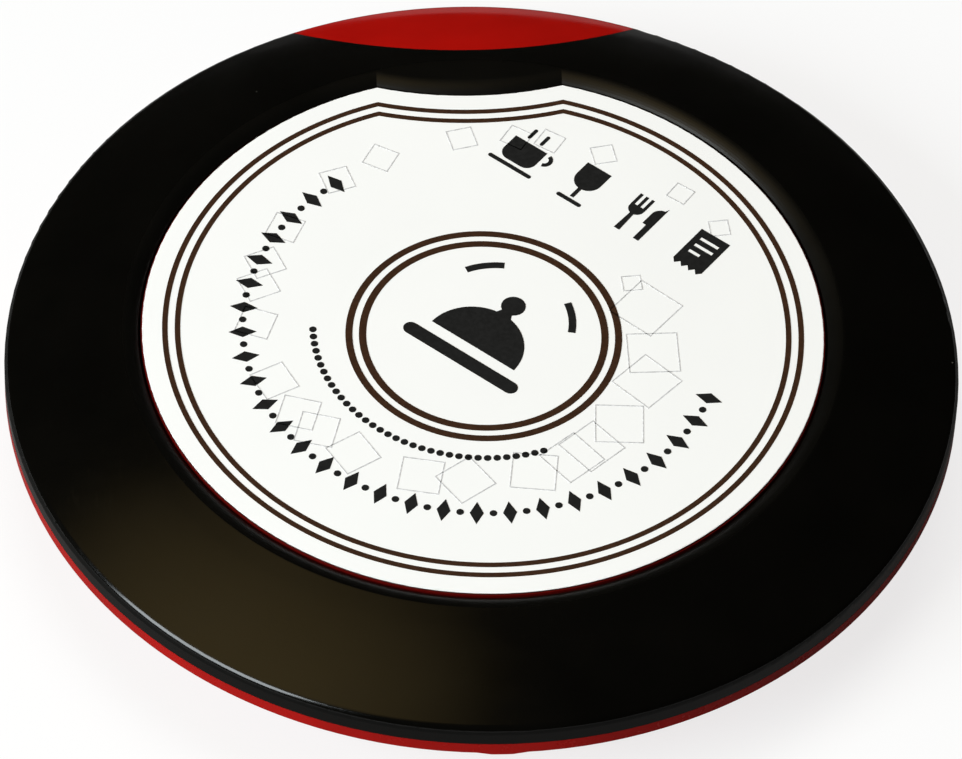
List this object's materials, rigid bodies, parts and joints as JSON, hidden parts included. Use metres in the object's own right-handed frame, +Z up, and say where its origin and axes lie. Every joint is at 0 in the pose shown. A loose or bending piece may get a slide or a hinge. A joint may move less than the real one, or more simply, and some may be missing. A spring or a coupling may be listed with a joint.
{
  "type": "waiter call button",
  "caption": "Flat round wireless table call button with a black ring cover, red casing and a wide keyed press plate over a coin cell and switch.",
  "frame": {"origin": "centre of the circle of feet, on the surface that they stand on", "axes": "+Z up out of the button, +Y towards the notch of the button and the red window, -Y towards the pry lip"},
  "size_m": [0.086, 0.086, 0.0132],
  "materials": {
    "casing_red": "moulded ABS, glossy",
    "cover_black": "moulded ABS, piano gloss",
    "window_red": "tinted translucent acrylic, polished",
    "seal_rubber": "soft silicone",
    "screw_steel": "zinc plated",
    "foot_rubber": "matt rubber",
    "sticker_white": "blank sticker",
    "button_red": "moulded ABS",
    "label_white": "printed plate, glossy",
    "pad_foam": "closed cell foam",
    "board_green": "glass epoxy with solder mask",
    "switch_black": "moulded nylon",
    "frame_steel": "stamped sheet",
    "lead_tin": "tinned",
    "stem_white": "moulded",
    "chip_black": "moulded epoxy",
    "can_metal": "plated lid",
    "resistor_dark": "printed resistor body",
    "capacitor_tan": "ceramic body",
    "coil_grey": "ferrite",
    "loop_brass": "stamped strip",
    "lamp_white": "lamp with clear lens",
    "guide_clear": "clear acrylic",
    "cell_steel": "stainless can",
    "contact_brass": "nickel plated spring strip",
    "door_red": "moulded ABS"
  },
  "bodies": {
    "housing": {"base_shell": "casing_red", "top_cover": "cover_black", "indicator_window": "window_red", "case_seal": "seal_rubber", "case_screws": "screw_steel", "rubber_feet": "foot_rubber", "rating_label": "sticker_white", "foam_pads": "pad_foam", "circuit_board": "board_green", "board_screws": "screw_steel", "switch_body": "switch_black", "switch_frame": "frame_steel", "switch_legs": "lead_tin", "controller_chip": "chip_black", "chip_leads": "lead_tin", "rf_transistor": "chip_black", "saw_resonator": "can_metal", "resistors": "resistor_dark", "capacitors": "capacitor_tan", "inductors": "coil_grey", "antenna_loop": "loop_brass", "indicator_lamp": "lamp_white", "light_guide": "guide_clear", "coin_cell": "cell_steel", "negative_contact": "contact_brass", "positive_contact": "contact_brass"},
    "button": {"button_cap": "button_red", "label_plate": "label_white"},
    "plunger": {"switch_plunger": "stem_white"},
    "door": {"battery_door": "door_red", "door_seal": "seal_rubber"}
  },
  "joints": [
    {"name": "button_press", "type": "slide", "parent": "housing", "child": "button", "axis": [0, 0, 1], "range_m": [-0.0006, 0], "stiffness_N_per_m": 3000, "deforming": ["foam_pads"]},
    {"name": "plunger_press", "type": "slide", "parent": "housing", "child": "plunger", "axis": [0, 0, 1], "range_m": [-0.0006, 0]},
    {"name": "door_turn", "type": "hinge", "parent": "housing", "child": "door", "pos_m": [0, 0, 0.0007], "axis": [0, 0, -1], "range_deg": [0, 45]}
  ],
  "couplings": [
    {"joint": "plunger_press", "follows": "button_press", "ratio": 1}
  ]
}
